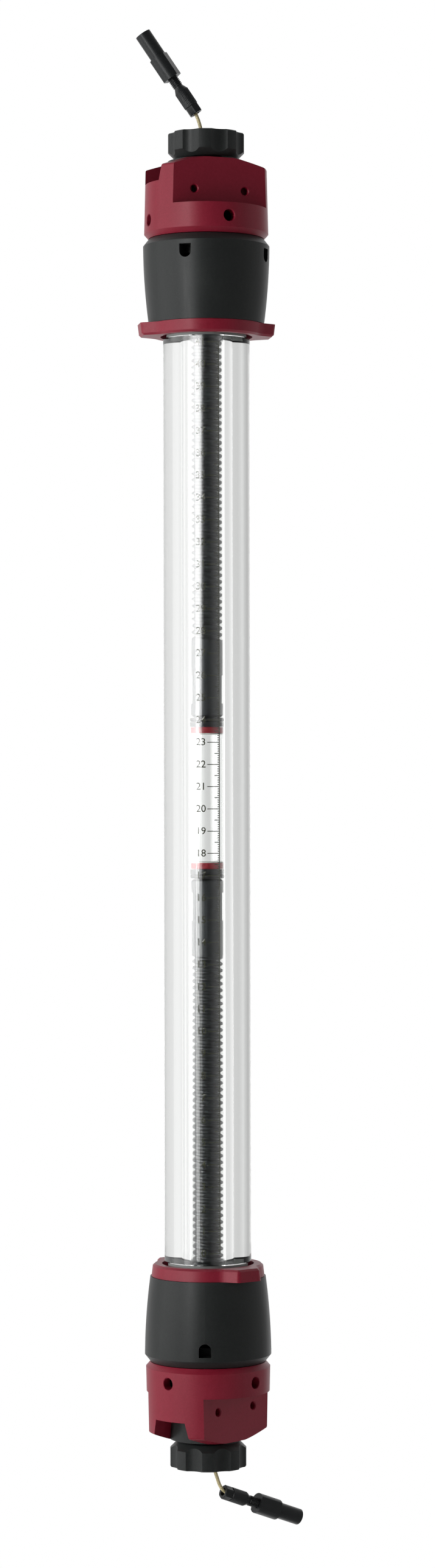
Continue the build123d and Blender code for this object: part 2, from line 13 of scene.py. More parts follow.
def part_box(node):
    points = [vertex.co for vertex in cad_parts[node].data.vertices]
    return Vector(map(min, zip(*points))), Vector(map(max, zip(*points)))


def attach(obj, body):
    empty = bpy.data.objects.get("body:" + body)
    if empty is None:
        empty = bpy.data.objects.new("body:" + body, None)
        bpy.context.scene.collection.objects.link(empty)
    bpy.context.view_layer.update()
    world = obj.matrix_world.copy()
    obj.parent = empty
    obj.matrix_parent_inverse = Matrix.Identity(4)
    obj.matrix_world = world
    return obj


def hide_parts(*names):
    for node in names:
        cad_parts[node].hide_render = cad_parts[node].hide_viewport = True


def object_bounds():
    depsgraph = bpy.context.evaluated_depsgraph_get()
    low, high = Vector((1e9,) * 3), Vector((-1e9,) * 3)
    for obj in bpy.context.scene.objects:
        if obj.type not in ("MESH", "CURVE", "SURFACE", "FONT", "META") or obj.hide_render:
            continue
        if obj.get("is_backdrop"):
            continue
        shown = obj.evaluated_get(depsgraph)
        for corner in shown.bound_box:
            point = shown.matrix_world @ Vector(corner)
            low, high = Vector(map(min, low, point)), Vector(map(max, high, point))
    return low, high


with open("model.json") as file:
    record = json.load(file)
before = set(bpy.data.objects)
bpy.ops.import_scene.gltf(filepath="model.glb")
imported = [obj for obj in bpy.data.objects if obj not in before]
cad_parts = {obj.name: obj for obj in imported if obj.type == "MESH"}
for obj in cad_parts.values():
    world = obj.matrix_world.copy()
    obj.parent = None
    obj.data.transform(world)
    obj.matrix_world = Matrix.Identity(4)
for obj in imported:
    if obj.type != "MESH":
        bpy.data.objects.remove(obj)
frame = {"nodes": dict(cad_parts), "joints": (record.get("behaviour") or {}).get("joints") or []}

log = logging.getLogger("column")

Array = np.ndarray
Levels = tuple[tuple[float, float], ...]
Material = bpy.types.Material
Object = bpy.types.Object
Socket = bpy.types.NodeSocket

MM = 0.001
MERGE_DISTANCE = 2e-7           # points of a new mesh closer than this are one, in metres


# ---------------------------------------------------------------- choices


class Grain(Enum):
    """How a surface was made, which sets the pattern of its fine relief."""

    MOULDED = "moulded"
    TURNED = "turned"
    POROUS = "porous"

    @property
    def stretch(self) -> float:
        """How many times longer the grain is round the axis than along it."""
        return 14.0 if self is Grain.TURNED else 1.0


class Side(Enum):
    """Which way out of the tube an end points."""

    UPPER = 1
    LOWER = -1

    @property
    def label(self) -> str:
        """The end's name, as in the names of its bodies, nodes and joints."""
        return self.name.lower()


# ---------------------------------------------------------------- mesh helpers


def linear(level: float) -> float:
    """Light level of a display value from 0 to 255, by the display's own curve."""
    share = level / 255
    return share / 12.92 if share <= 0.04045 else ((share + 0.055) / 1.055) ** 2.4


def display_color(levels: tuple[int, int, int]) -> tuple[float, ...]:
    """Opaque colour of display values from 0 to 255."""
    return (*(linear(level) for level in levels), 1)


def add_object(name: str, data: bpy.types.ID) -> Object:
    """New object at the origin with this data, in the scene's collection."""
    added = bpy.data.objects.new(name, data)
    bpy.context.scene.collection.objects.link(added)
    return added


def revolve_grid(radius: Array, height: Array, columns: int) -> Array:
    """Grid of points round the z axis: each row is a circle of one radius at one height.

    Args:
        radius: One radius per row, or one per row and column.
        height: One height per row, or one per row and column.
        columns: Number of points round the axis; the last one isn't repeated.

    Returns:
        Array of rows x columns x 3.
    """
    turn = np.linspace(0, 2 * np.pi, columns, endpoint=False)
    radius = np.asarray(radius, float)
    height = np.asarray(height, float)
    if radius.ndim == 1:
        radius = radius[:, None]
    if height.ndim == 1:
        height = height[:, None]
    ones = np.ones((max(len(radius), len(height)), columns))
    return np.stack([radius * np.cos(turn) * ones, radius * np.sin(turn) * ones, height * ones], -1)


def grid_faces(rows: int, columns: int, around: bool, closed_rows: bool) -> Array:
    """Corner numbers of the quads between neighbouring points of a grid.

    Args:
        rows: Number of rows of points.
        columns: Number of points in a row.
        around: Whether the last column joins the first one.
        closed_rows: Whether the last row joins the first one.

    Returns:
        Array of faces x 4.
    """
    last_row = rows if closed_rows else rows - 1
    last_column = columns if around else columns - 1
    row, column = np.meshgrid(np.arange(last_row), np.arange(last_column), indexing="ij")
    next_row = (row + 1) % rows
    next_column = (column + 1) % columns
    corners = [
        row * columns + column,
        row * columns + next_column,
        next_row * columns + next_column,
        next_row * columns + column,
    ]
    return np.stack(corners, -1).reshape(-1, 4)


def mesh_object(name: str, points: Array, faces: Array, smooth_angle: float) -> Object:
    """Object at the origin whose mesh has these points and faces, merged and pointing outwards.

    Args:
        name: Name of the object.
        points: Array of points x 3, in metres.
        faces: Array of faces x corners.
        smooth_angle: Angle in degrees from which an edge between faces stays sharp.

    Returns:
        The new object, in the scene's collection.
    """
    mesh = bpy.data.meshes.new(name)
    mesh.from_pydata(points.reshape(-1, 3), [], faces.tolist())
    work = bmesh.new()
    work.from_mesh(mesh)
    bmesh.ops.remove_doubles(work, verts=work.verts, dist=MERGE_DISTANCE)
    bmesh.ops.dissolve_degenerate(work, edges=work.edges, dist=MERGE_DISTANCE)
    bmesh.ops.recalc_face_normals(work, faces=work.faces)
    work.to_mesh(mesh)
    work.free()
    mesh.shade_smooth()
    mesh.set_sharp_from_angle(angle=math.radians(smooth_angle))
    return add_object(name, mesh)


def dress(piece: Object, material: Material, body: str) -> Object:
    """Gives a new piece its material and its body.

    Args:
        piece: The new piece.
        material: Its material.
        body: Name of the body that it rides on.

    Returns:
        The same piece.
    """
    piece.data.materials.clear()
    piece.data.materials.append(material)
    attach(piece, body)
    return piece


# ---------------------------------------------------------------- shader groups


class Nodes:
    """Short way to add and link the nodes of one tree."""

    def __init__(self, tree: bpy.types.NodeTree) -> None:
        """Keeps the tree, emptied."""
        self.tree = tree
        tree.nodes.clear()

    def add(self, kind: str, **values: object) -> bpy.types.Node:
        """Adds a node.

        Args:
            kind: Type name of the node.
            values: Properties of the node.

        Returns:
            The new node.
        """
        node = self.tree.nodes.new(kind)
        for name, value in values.items():
            setattr(node, name, value)
        return node

    def link(self, source: Socket, target: Socket) -> None:
        """Links an output socket to an input socket."""
        self.tree.links.new(source, target)

    def feed(self, node: bpy.types.Node, **inputs: object) -> bpy.types.Node:
        """Sets or links a node's inputs, named with _ for each space, or i and a number.

        Args:
            node: The node.
            inputs: A value or an output socket for each input.

        Returns:
            The same node.
        """
        for name, value in inputs.items():
            numbered = name[0] == "i" and name[1:].isdigit()
            socket = node.inputs[int(name[1:]) if numbered else name.replace("_", " ")]
            if isinstance(value, Socket):
                self.link(value, socket)
            else:
                socket.default_value = value
        return node

    def math(self, operation: str, *values: object) -> Socket:
        """Result of a Math node.

        Args:
            operation: Name of the operation.
            values: Numbers or output sockets, in order.

        Returns:
            The node's output socket.
        """
        node = self.add("ShaderNodeMath", operation=operation)
        self.feed(node, **{f"i{index}": value for index, value in enumerate(values)})
        return node.outputs[0]

    def axes(self, vector: Socket) -> bpy.types.bpy_prop_collection:
        """The x, y and z of a vector, as output sockets."""
        return self.feed(self.add("ShaderNodeSeparateXYZ"), i0=vector).outputs

    def unscattered(self, path: bpy.types.Node) -> Socket:
        """1 for a ray that no dull surface has scattered, else 0, from a Light Path node."""
        return self.math("LESS_THAN", path.outputs["Diffuse Depth"], 0.5)

    def noise(self, vector: Socket, scale: object, detail: float = 2.0) -> Socket:
        """Value of a noise, from 0 to 1.

        Args:
            vector: Coordinates that it reads.
            scale: Scale, a number or an output socket.
            detail: Number of finer layers.

        Returns:
            The noise's output socket.
        """
        node = self.add("ShaderNodeTexNoise")
        self.feed(node, Vector=vector, Scale=scale, Detail=detail)
        return node.outputs[0]

    def ramp(self, share: Socket, stops: Levels) -> Socket:
        """Grey colour that follows a share from 0 to 1.

        Args:
            share: The share.
            stops: Places from 0 to 1, in order, and the grey level at each.

        Returns:
            The ramp's output socket.
        """
        node = self.add("ShaderNodeValToRGB")
        self.link(share, node.inputs[0])
        elements = node.color_ramp.elements
        elements.remove(elements[0])
        for index, (position, level) in enumerate(stops):
            element = elements[0] if index == 0 else elements.new(position)
            element.position = position
            element.color = (level, level, level, 1)
        return node.outputs[0]

    def mix_shader(self, share: Socket, first: Socket, second: Socket) -> Socket:
        """Mix of two shaders.

        Args:
            share: Share of the second one.
            first: The shader at share 0.
            second: The shader at share 1.

        Returns:
            The mix node's output socket.
        """
        return self.feed(self.add("ShaderNodeMixShader"), i0=share, i1=first, i2=second).outputs[0]

    def add_shaders(self, first: Socket, second: Socket) -> Socket:
        """Sum of two shaders."""
        return self.feed(self.add("ShaderNodeAddShader"), i0=first, i1=second).outputs[0]

    def end(self, kind: str, shader: Socket) -> None:
        """Ends the tree with a shader in an output node of this kind."""
        self.feed(self.add(kind), i0=shader)


def new_material(name: str) -> tuple[Material, Nodes]:
    """Empty material and its nodes."""
    material = bpy.data.materials.new(name)
    material.use_nodes = True
    return material, Nodes(material.node_tree)


@dataclass(frozen=True)
class GroupSocket:
    """One named socket of a shader group."""

    name: str
    kind: str = "NodeSocketFloat"
    value: object = 0.0


def new_group(
    name: str, inputs: tuple[GroupSocket, ...], outputs: tuple[GroupSocket, ...]
) -> bpy.types.NodeTree:
    """Empty shader group with its sockets.

    Args:
        name: Name of the group.
        inputs: Its inputs, with their default values.
        outputs: Its outputs.

    Returns:
        The group's tree.
    """
    tree = bpy.data.node_groups.new(name, "ShaderNodeTree")
    for spec in inputs:
        socket = tree.interface.new_socket(name=spec.name, in_out="INPUT", socket_type=spec.kind)
        socket.default_value = spec.value
    for spec in outputs:
        tree.interface.new_socket(name=spec.name, in_out="OUTPUT", socket_type=spec.kind)
    return tree


class ShaderGroups:
    """Effects that several materials share, each built once.

    Attributes:
        speckle: Fine moulded or turned grain, as a height and a mask.
        tone: Slow changes of shade and of gloss over a surface, from handling and dust.
    """

    FINE_SHARE = 0.6
    COARSE_SHARE = 0.4
    COARSE_SCALE = 0.37
    MASK_RANGE = (0.38, 0.66)
    DRIFT_SCALE = 55.0
    DRIFT_SHARE = 0.35
    RUB_SCALE = (900.0, 900.0, 60.0)

    def __init__(self) -> None:
        """Builds both groups."""
        self.speckle = self._speckle()
        self.tone = self._tone()

    def _speckle(self) -> bpy.types.NodeTree:
        """Grain from two noises of the object's own coordinates, drawn out across z for turned work.

        Returns:
            Group with the inputs Size, Stretch and the outputs Height, Mask.
        """
        tree = new_group(
            "fine_grain",
            (GroupSocket("Size", value=0.0004), GroupSocket("Stretch", value=1.0)),
            (GroupSocket("Height"), GroupSocket("Mask")),
        )
        nodes = Nodes(tree)
        given = nodes.add("NodeGroupInput")
        result = nodes.add("NodeGroupOutput")
        place = nodes.add("ShaderNodeTexCoord").outputs["Object"]
        x, y, z = nodes.axes(place)
        across = nodes.math("DIVIDE", 1.0, given.outputs["Stretch"])
        drawn = nodes.add("ShaderNodeCombineXYZ")
        nodes.feed(
            drawn,
            X=nodes.math("MULTIPLY", x, across),
            Y=nodes.math("MULTIPLY", y, across),
            Z=z,
        )
        fine_scale = nodes.math("DIVIDE", 1.0, given.outputs["Size"])
        fine = nodes.noise(drawn.outputs[0], fine_scale)
        coarse_scale = nodes.math("MULTIPLY", fine_scale, self.COARSE_SCALE)
        coarse = nodes.noise(drawn.outputs[0], coarse_scale)
        fine_part = nodes.math("MULTIPLY", fine, self.FINE_SHARE)
        height = nodes.math("ADD", fine_part, nodes.math("MULTIPLY", coarse, self.COARSE_SHARE))
        nodes.link(height, result.inputs["Height"])
        mask = nodes.add("ShaderNodeMapRange")
        least, most = self.MASK_RANGE
        nodes.feed(mask, Value=height, From_Min=least, From_Max=most)
        nodes.link(mask.outputs[0], result.inputs["Mask"])
        return tree

    def _tone(self) -> bpy.types.NodeTree:
        """Colour and gloss that drift slowly, with faint upright rub marks.

        Returns:
            Group with the inputs Color, Light Color, Speck, Mask, Roughness and Spread, and
            the outputs Color and Roughness.
        """
        tree = new_group(
            "slow_tone",
            (
                GroupSocket("Color", "NodeSocketColor", (0.5, 0.5, 0.5, 1)),
                GroupSocket("Light Color", "NodeSocketColor", (0.6, 0.6, 0.6, 1)),
                GroupSocket("Speck", value=0.3),
                GroupSocket("Mask", value=0.5),
                GroupSocket("Roughness", value=0.5),
                GroupSocket("Spread", value=0.1),
            ),
            (GroupSocket("Color", "NodeSocketColor"), GroupSocket("Roughness")),
        )
        nodes = Nodes(tree)
        given = nodes.add("NodeGroupInput")
        result = nodes.add("NodeGroupOutput")
        place = nodes.add("ShaderNodeTexCoord").outputs["Object"]
        drift = nodes.noise(place, self.DRIFT_SCALE, 3.0)
        rub_place = nodes.add("ShaderNodeMapping")
        nodes.feed(rub_place, Vector=place, Scale=self.RUB_SCALE)
        rub = nodes.noise(rub_place.outputs[0], 1.0, 2.0)
        speck = nodes.math("MULTIPLY", given.outputs["Mask"], given.outputs["Speck"])
        slow = nodes.math("MULTIPLY", drift, self.DRIFT_SHARE)
        share = nodes.math("ADD", speck, slow)
        mix = nodes.add("ShaderNodeMix", data_type="RGBA")
        nodes.link(share, mix.inputs["Factor"])
        nodes.link(given.outputs["Color"], mix.inputs["A"])
        nodes.link(given.outputs["Light Color"], mix.inputs["B"])
        nodes.feed(result, Color=mix.outputs["Result"])
        wander = nodes.math("SUBTRACT", nodes.math("ADD", drift, rub), 1.0)
        spread, middle = given.outputs["Spread"], given.outputs["Roughness"]
        rough = nodes.math("MULTIPLY_ADD", wander, spread, middle)
        nodes.link(rough, result.inputs["Roughness"])
        return tree


# ---------------------------------------------------------------- finishes


@dataclass(frozen=True)
class Finish:
    """An opaque finish of one material slot.

    Attributes:
        slot: Name of the record's slot.
        color: Display colour of the surface, 0 to 255.
        light: Display colour of its lighter specks.
        roughness: Middle roughness.
        spread: How far the roughness wanders.
        speck: Share of the light colour in a speck.
        grain: How the surface was made.
        grain_size: Size of the grain in metres.
        relief: Height of the grain in metres.
        specular: Strength of the surface's own reflection.
        sheen: Strength of a soft dusty edge light.
    """

    slot: str
    color: tuple[int, int, int]
    light: tuple[int, int, int]
    roughness: float
    spread: float = 0.06
    speck: float = 0.25
    grain: Grain = Grain.MOULDED
    grain_size: float = 0.00035
    relief: float = 0.00002
    specular: float = 0.5
    sheen: float = 0.0

    def material(self, groups: ShaderGroups) -> Material:
        """Material with the finish's colour, gloss and relief.

        Args:
            groups: The shared shader groups.

        Returns:
            The new material.
        """
        material, nodes = new_material(f"{self.slot}_finish")
        grain = nodes.add("ShaderNodeGroup")
        grain.node_tree = groups.speckle
        nodes.feed(grain, Size=self.grain_size, Stretch=self.grain.stretch)
        tone = nodes.add("ShaderNodeGroup")
        tone.node_tree = groups.tone
        nodes.feed(
            tone,
            Color=display_color(self.color),
            Light_Color=display_color(self.light),
            Speck=self.speck,
            Mask=grain.outputs["Mask"],
            Roughness=self.roughness,
            Spread=self.spread,
        )
        bump = nodes.add("ShaderNodeBump")
        nodes.feed(bump, Height=grain.outputs["Height"], Distance=self.relief, Strength=0.6)
        surface = nodes.add("ShaderNodeBsdfPrincipled")
        nodes.feed(
            surface,
            Base_Color=tone.outputs["Color"],
            Roughness=tone.outputs["Roughness"],
            Normal=bump.outputs[0],
            Specular_IOR_Level=self.specular,
            Sheen_Weight=self.sheen,
        )
        nodes.end("ShaderNodeOutputMaterial", surface.outputs[0])
        return material


@dataclass(frozen=True)
class GlassFinish:
    """Clear polished glass.

    Attributes:
        slot: Name of the record's slot.
        index: Refractive index.
        tint: Display colour of the light that it lets through.
        ripple: Height of the ripple in metres.
        ripple_scale: Ripples to a metre along each axis.
    """

    slot: str = "tube_glass"
    index: float = 1.47
    tint: tuple[int, int, int] = (252, 253, 252)
    ripple: float = 0.0000004
    ripple_scale: tuple[float, float, float] = (90.0, 90.0, 6.0)

    def material(self) -> Material:
        """Glass with a very faint ripple along the tube, as drawn tube has.

        Returns:
            The new material.
        """
        material, nodes = new_material(f"{self.slot}_finish")
        place = nodes.add("ShaderNodeTexCoord").outputs["Object"]
        stretched = nodes.add("ShaderNodeMapping")
        nodes.feed(stretched, Vector=place, Scale=self.ripple_scale)
        ripple = nodes.noise(stretched.outputs[0], 1.0, 1.0)
        bump = nodes.add("ShaderNodeBump")
        nodes.feed(bump, Height=ripple, Distance=self.ripple, Strength=0.5)
        surface = nodes.add("ShaderNodeBsdfPrincipled")
        nodes.feed(
            surface,
            Base_Color=display_color(self.tint),
            Roughness=0.0,
            IOR=self.index,
            Transmission_Weight=1.0,
            Normal=bump.outputs[0],
        )
        nodes.end("ShaderNodeOutputMaterial", surface.outputs[0])
        return material


FINISHES = (
    Finish("cap_black", (28, 30, 30), (44, 47, 46), 0.40, spread=0.12, speck=0.45, relief=0.000016),
    Finish("lock_burgundy", (120, 11, 34), (144, 34, 56), 0.38, spread=0.1, speck=0.4, relief=0.000014),
    Finish("rod_grey", (50, 54, 56), (66, 70, 72), 0.34, grain=Grain.TURNED,
           grain_size=0.0004, relief=0.000008),
    Finish("collar_grey", (146, 150, 148), (172, 175, 172), 0.42, grain=Grain.TURNED),
    Finish("plunger_black", (46, 48, 50), (60, 62, 64), 0.3, grain=Grain.TURNED, grain_size=0.0003),
    Finish("seal_rubber", (30, 31, 32), (44, 45, 46), 0.55, sheen=0.1),
    Finish("filter_red", (158, 26, 40), (176, 48, 60), 0.4, relief=0.000008),
    Finish("filter_white", (226, 226, 220), (246, 246, 242), 0.8, grain=Grain.POROUS, grain_size=0.00012),
    Finish("fitting_black", (28, 30, 31), (38, 40, 41), 0.34, grain=Grain.TURNED, speck=0.15,
           grain_size=0.0002, relief=0.000004),
    Finish("fitting_cream", (206, 194, 160), (220, 210, 182), 0.45, relief=0.000008),
    Finish("capillary_tan", (196, 182, 136), (214, 202, 162), 0.35, grain_size=0.0005, relief=0.000008),
)
INK = Finish("scale_ink", (56, 58, 44), (70, 72, 58), 0.0, spread=0.0, relief=0.0)


# ---------------------------------------------------------------- glass and scale


@dataclass
class GlassTube:
    """Thick clear tube with a ground neck at each end; sizes in metres.

    The section is one closed profile: the bore, the end of a neck, the neck, the
    chamfered shoulder and the full diameter, and the same again at the other end. The
    shoulder stays a little clear of the collar, so that it mirrors as bare glass does.
    """

    bore_radius: float = 8.0 * MM
    neck_radius: float = 16.5 * MM
    neck_length: float = 12.5 * MM
    chamfer: float = 0.5 * MM
    shoulder_gap: float = 0.1 * MM
    columns: int = 256

    def build(self, material: Material) -> Object:
        """Revolves the tube's section and lets it stand for the CAD tube.

        Args:
            material: The glass.

        Returns:
            The finished tube.
        """
        low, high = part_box("glass_tube")
        radius = high.x
        half = high.z - self.neck_length - self.shoulder_gap
        upper = [
            (self.bore_radius, 0.0),
            (self.bore_radius, high.z),
            (self.neck_radius, high.z),
            (self.neck_radius, half),
            (radius - self.chamfer, half),
            (radius, half - self.chamfer),
        ]
        lower = [(r, -z) for r, z in reversed(upper[1:])]
        profile = np.array(upper + lower)
        points = revolve_grid(profile[:, 0], profile[:, 1], self.columns)
        faces = grid_faces(len(profile), self.columns, around=True, closed_rows=True)
        piece = mesh_object("clear_tube", points, faces, smooth_angle=20)
        dress(piece, material, "column")
        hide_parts("glass_tube")
        return piece


@dataclass
class ScalePrint:
    """Centimetre scale printed on the outside of the tube; sizes in metres, angles in degrees.

    Each number has its ticks a millimetre apart up to the next one, the fifth of them longer.
    A tick is a thin bent bar: its point at share s of its length lies at the azimuth of
    the upright line less s times the length over the radius.
    """

    first_height: float = -203.9 * MM
    last_number: int = 41
    ticks: int = 10
    line_azimuth: float = 16.8
    line_width: float = 0.42 * MM
    tick_width: float = 0.36 * MM
    short_tick: float = 1.05 * MM
    half_tick: float = 2.5 * MM
    long_tick: float = 5.7 * MM
    number_azimuth: float = -8.0
    number_shift: float = 0.9 * MM
    number_size: float = 4.6 * MM
    number_weight: float = 0.03 * MM
    number_resolution: int = 3
    rise: float = 0.05 * MM
    film: float = 0.03 * MM
    stations: int = 9

    def build(self, material: Material) -> Object:
        """Makes the line, its ticks and the numbers as one thin piece.

        Args:
            material: The ink.

        Returns:
            The print.
        """
        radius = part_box("glass_tube")[1].x
        bars, bar_faces = self._bars(radius)
        points = [bars]
        faces = bar_faces.tolist()
        start = len(bars)
        for number in range(self.last_number + 1):
            glyph, glyph_faces = self._number(number, radius)
            points.append(glyph)
            faces += [[start + corner for corner in face] for face in glyph_faces]
            start += len(glyph)
        mesh = bpy.data.meshes.new("scale_print")
        mesh.from_pydata(np.concatenate(points), [], faces)
        return dress(add_object("scale_print", mesh), material, "column")

    def _bars(self, radius: float) -> tuple[Array, Array]:
        """All ticks and the upright line as closed bars bent to the tube.

        Args:
            radius: Outer radius of the tube.

        Returns:
            Points x 3 and faces x 4.
        """
        count = self.ticks * self.last_number + 1
        step = np.arange(count)
        length = np.full(count, self.short_tick)
        length[step % (self.ticks // 2) == 0] = self.half_tick
        length[step % self.ticks == 0] = self.long_tick
        middle = self.first_height + step * MM
        line_middle = (middle[0] + middle[-1]) / 2
        line_half = (middle[-1] - middle[0] + self.tick_width) / 2
        length = np.append(length, self.line_width)
        middle = np.append(middle, line_middle)
        half = np.append(np.full(count, self.tick_width / 2), line_half)
        share = np.linspace(0, 1, self.stations)
        azimuth = math.radians(self.line_azimuth) - share[None, :] * length[:, None] / radius
        outer, inner = radius + self.rise, radius + self.rise - self.film
        ring_radius = np.array([outer, outer, inner, inner])
        ring_side = np.array([1, -1, -1, 1])
        angle = azimuth[:, :, None]
        shape = (count + 1, self.stations, 4)
        x = ring_radius * np.sin(angle)
        y = -ring_radius * np.cos(angle)
        z = np.broadcast_to(middle[:, None, None] + ring_side * half[:, None, None], shape)
        points = np.stack([np.broadcast_to(x, shape), np.broadcast_to(y, shape), z], -1)
        skin = grid_faces(self.stations, 4, around=True, closed_rows=False)
        last = (self.stations - 1) * 4
        ends = np.array([[0, 3, 2, 1], [last, last + 1, last + 2, last + 3]])
        bar = np.concatenate([skin[:, ::-1], ends[:, ::-1]])
        start = np.arange(count + 1)[:, None, None] * self.stations * 4
        return points.reshape(-1, 3), (bar[None] + start).reshape(-1, 4)

    def _number(self, number: int, radius: float) -> tuple[Array, list[list[int]]]:
        """One number, cut as a thin plate and bent to the tube beside its tick.

        Args:
            number: The number.
            radius: Outer radius of the tube.

        Returns:
            Points x 3 and the corner numbers of each face.
        """
        text = bpy.data.curves.new(f"number_{number}", "FONT")
        text.body = str(number)
        text.size = self.number_size
        text.align_x = "CENTER"
        text.align_y = "CENTER"
        text.extrude = self.film / 2
        text.offset = self.number_weight
        text.resolution_u = self.number_resolution
        holder = bpy.data.objects.new(f"number_{number}", text)
        mesh = bpy.data.meshes.new_from_object(holder)
        flat = np.empty(len(mesh.vertices) * 3)
        mesh.vertices.foreach_get("co", flat)
        flat = flat.reshape(-1, 3)
        faces = [list(face.vertices) for face in mesh.polygons]
        shift = self.number_shift if number < 10 else 0.0
        height = self.first_height + number * self.ticks * MM
        angle = math.radians(self.number_azimuth) + (flat[:, 0] + shift) / radius
        out = radius + self.rise - self.film / 2 + flat[:, 2]
        points = np.stack([out * np.sin(angle), -out * np.cos(angle), flat[:, 1] + height], -1)
        bpy.data.objects.remove(holder)
        bpy.data.curves.remove(text)
        bpy.data.meshes.remove(mesh)
        return points, faces


# ---------------------------------------------------------------- threaded rod


@dataclass
class ThreadedRod:
    """Hollow rod with a coarse left-handed thread, its spigot and its bore; sizes in metres.

    The thread's surface is a sheared grid: the point in column c and row j lies at the
    height of row j plus c turns' share of the pitch, cut off at the thread's two ends,
    and its radius is the tooth's profile at that height. The turn is counted from the
    front, and the way out of the tube is against it, which makes the thread left-handed.
    """

    side: Side
    pitch: float = 3.0 * MM
    root_radius: float = 5.8 * MM
    spigot_radius: float = 5.4 * MM
    spigot_length: float = 6.0 * MM
    bore_radius: float = 4.7 * MM
    columns: int = 48

    # Share of the pitch from a crest's middle, and share of the tooth's height there
    tooth = np.array([
        (0.00, 1.00), (0.11, 1.00), (0.18, 0.88), (0.25, 0.52), (0.34, 0.10), (0.42, 0.00),
        (0.58, 0.00), (0.66, 0.10), (0.75, 0.52), (0.82, 0.88), (0.89, 1.00), (1.00, 1.00),
    ])

    def tooth_radius(self, height: Array, turn: Array, crest: float) -> Array:
        """Radius of the thread where it has climbed by a height at a turn, both as arrays.

        Args:
            height: Height above the start of the thread.
            turn: Share of a full turn, counted against the climb.
            crest: Radius of the crests.

        Returns:
            Array of radii.
        """
        phase = (height / self.pitch - turn) % 1.0
        share = np.interp(phase, self.tooth[:, 0], self.tooth[:, 1])
        return self.root_radius + (crest - self.root_radius) * share

    def build(self, material: Material) -> Object:
        """Builds the rod and lets it stand for the CAD rod.

        Args:
            material: Grey turned plastic.

        Returns:
            The finished rod.
        """
        end = self.side.label
        node = f"{end}_adapter_rod"
        low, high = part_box(node)
        outward = self.side.value
        inner_end, outer_end = (low.z, high.z) if outward > 0 else (-high.z, -low.z)
        start = inner_end + self.spigot_length
        length = outer_end - start
        turns = math.ceil(length / self.pitch) + 1
        steps = (np.arange(turns)[:, None] + self.tooth[:-1, 0]).reshape(-1) * self.pitch
        turn = np.linspace(0, 1, self.columns + 1)
        climb = np.clip(steps[:, None] + (turn[None, :] - 1) * self.pitch, 0, length)
        radius = self.tooth_radius(climb, np.broadcast_to(turn, climb.shape), high.x)
        plain = np.array([
            (self.bore_radius, length),
            (self.bore_radius, -self.spigot_length),
            (self.spigot_radius, -self.spigot_length),
            (self.spigot_radius, 0.0),
        ])
        ones = np.ones(self.columns + 1)
        radius = np.concatenate([radius, plain[:, :1] * ones])
        height = np.concatenate([climb, plain[:, 1:] * ones]) + start
        angle = -np.pi / 2 - outward * 2 * np.pi * turn
        points = np.stack([radius * np.cos(angle), radius * np.sin(angle), outward * height], -1)
        faces = grid_faces(len(radius), self.columns + 1, around=False, closed_rows=True)
        piece = mesh_object(f"{end}_threaded_rod", points, faces, smooth_angle=50)
        dress(piece, material, f"{end}_adapter")
        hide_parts(node)
        return piece


# ---------------------------------------------------------------- fittings


@dataclass
class FittingFrame:
    """Axis of one end's fitting, from the joint that turns its union.

    Attributes:
        side: The end.
        origin: Centre of the nut's mouth.
        matrix: Turn and place of the fitting: x is level, z runs along the nut.
    """

    side: Side
    origin: Vector
    matrix: Matrix

    @classmethod
    def of(cls, side: Side) -> "FittingFrame":
        """Works the frame out from the joint and the CAD nut.

        Args:
            side: The end.

        Returns:
            The end's fitting frame.
        """
        end = side.label
        joint = next(j for j in frame["joints"] if j["name"] == f"{end}_union_turn")
        along = Vector(joint["axis"]).normalized()
        point = Vector(joint["pos_m"])
        mesh = frame["nodes"][f"{end}_fitting_nut"].data
        places = np.empty(len(mesh.vertices) * 3)
        mesh.vertices.foreach_get("co", places)
        reach = (places.reshape(-1, 3) - np.array(point)) @ np.array(along)
        origin = point + along * float(reach.min())
        level = Vector((0, 0, 1)).cross(along).normalized()
        upright = along.cross(level)
        turn = Matrix((level, upright, along)).transposed()
        return cls(side, origin, Matrix.Translation(origin) @ turn.to_4x4())

    def place(self, points: Array) -> Array:
        """Moves points from the fitting's frame to the column's."""
        turn = np.array(self.matrix.to_3x3())
        return points.reshape(-1, 3) @ turn.T + np.array(self.origin)


